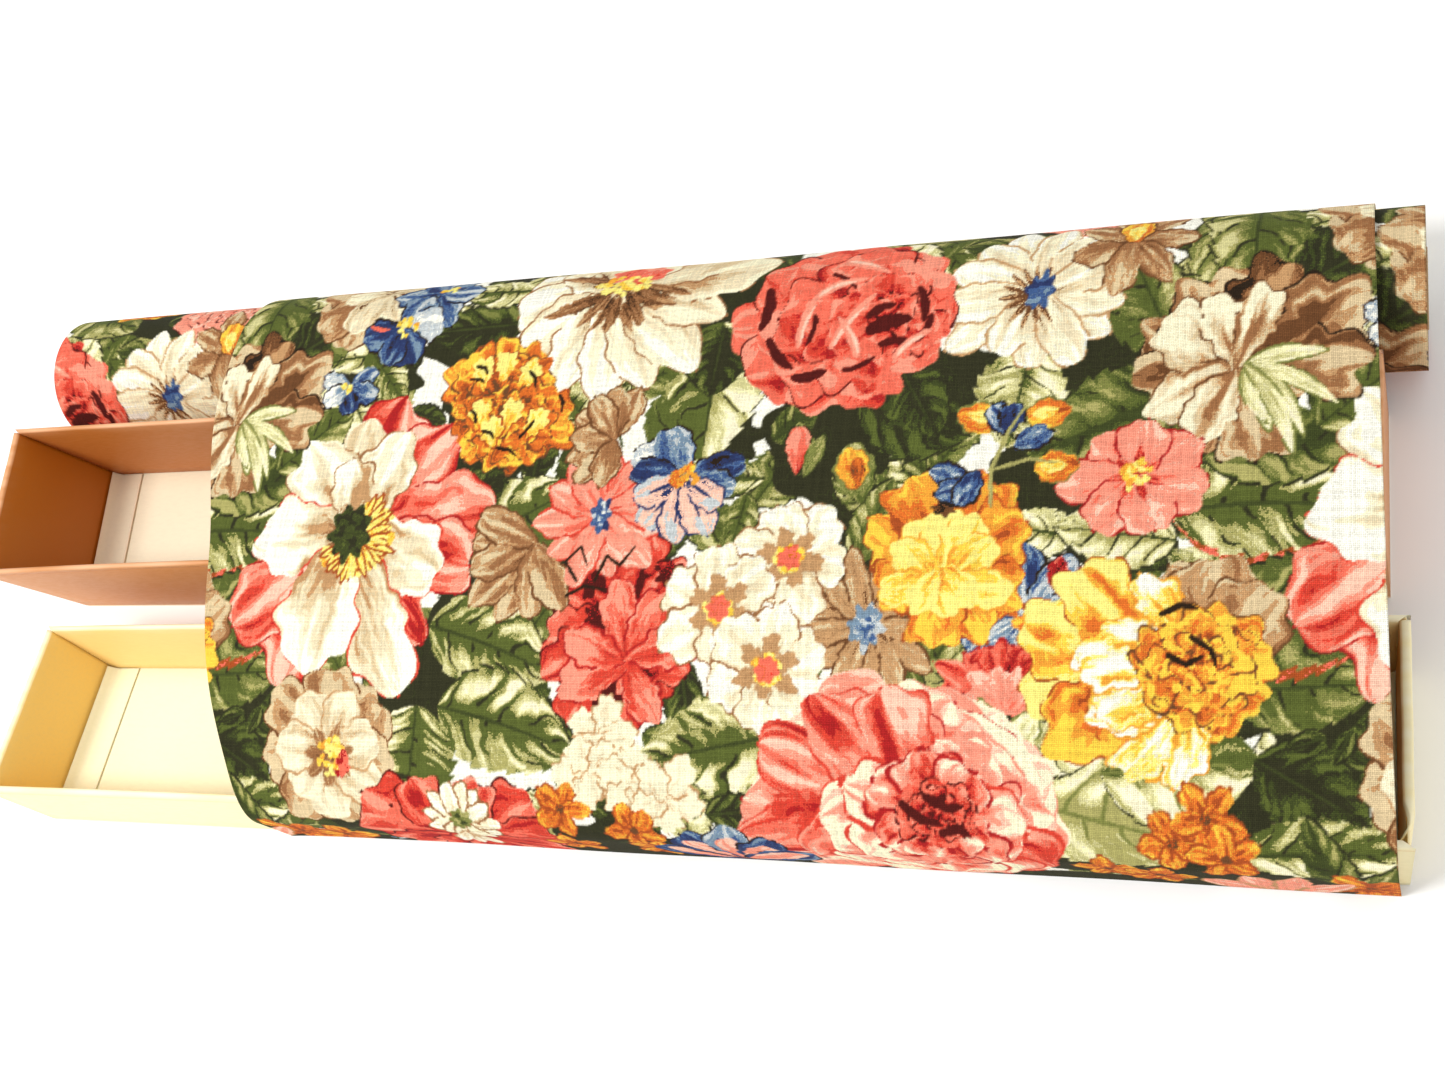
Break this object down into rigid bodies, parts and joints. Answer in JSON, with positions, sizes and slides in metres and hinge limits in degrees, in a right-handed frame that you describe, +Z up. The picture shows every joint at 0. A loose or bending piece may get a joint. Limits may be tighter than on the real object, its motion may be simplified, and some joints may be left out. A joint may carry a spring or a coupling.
{
  "type": "fabric bolt",
  "caption": "Roll of printed furnishing cloth on a card tube, with a free length draped over the two open trays of its long card carton.",
  "frame": {"origin": "centre of the arrangement's outline, on the table", "axes": "+X along the roll to its right end, +Y to the back, +Z up"},
  "size_m": [0.622, 0.2439, 0.0615],
  "materials": {
    "printed_cloth": "plain-weave cotton printed with large flowers and leaves on a white ground",
    "tube_card": "spiral-wound grey-brown tube board",
    "peach_card": "peach-brown coated card, satin, paler inside",
    "cream_card": "cream coated card, satin, paler inside"
  },
  "bodies": {
    "free_length": {"free_length": "printed_cloth"},
    "roll": {"core_tube": "tube_card", "wound_cloth": "printed_cloth"},
    "base_tray": {"base_tray_floor": "peach_card", "base_tray_front_wall": "peach_card", "base_tray_front_lining": "peach_card", "base_tray_back_wall": "peach_card", "base_tray_back_lining": "peach_card", "base_tray_left_end": "peach_card", "base_tray_left_end_lining": "peach_card", "base_tray_left_floor_flap": "peach_card", "base_tray_left_front_tab": "peach_card", "base_tray_left_back_tab": "peach_card", "base_tray_right_end": "peach_card", "base_tray_right_end_lining": "peach_card", "base_tray_right_floor_flap": "peach_card", "base_tray_right_front_tab": "peach_card", "base_tray_right_back_tab": "peach_card"},
    "lid_tray": {"lid_tray_floor": "cream_card", "lid_tray_front_wall": "cream_card", "lid_tray_front_lining": "cream_card", "lid_tray_back_wall": "cream_card", "lid_tray_back_lining": "cream_card", "lid_tray_left_end": "cream_card", "lid_tray_left_end_lining": "cream_card", "lid_tray_left_floor_flap": "cream_card", "lid_tray_left_front_tab": "cream_card", "lid_tray_left_back_tab": "cream_card", "lid_tray_right_end": "cream_card", "lid_tray_right_end_lining": "cream_card", "lid_tray_right_floor_flap": "cream_card", "lid_tray_right_front_tab": "cream_card", "lid_tray_right_back_tab": "cream_card"}
  },
  "joints": [
    {"name": "roll_turn", "type": "hinge", "parent": "free_length", "child": "roll", "pos_m": [0, 0.09, 0.03], "axis": [1, 0, 0], "continuous": true},
    {"name": "base_tray_slide", "type": "slide", "parent": "free_length", "child": "base_tray", "axis": [1, 0, 0], "range_m": [-0.15, 0.15]},
    {"name": "lid_tray_slide", "type": "slide", "parent": "free_length", "child": "lid_tray", "axis": [1, 0, 0], "range_m": [-0.15, 0.15]}
  ]
}
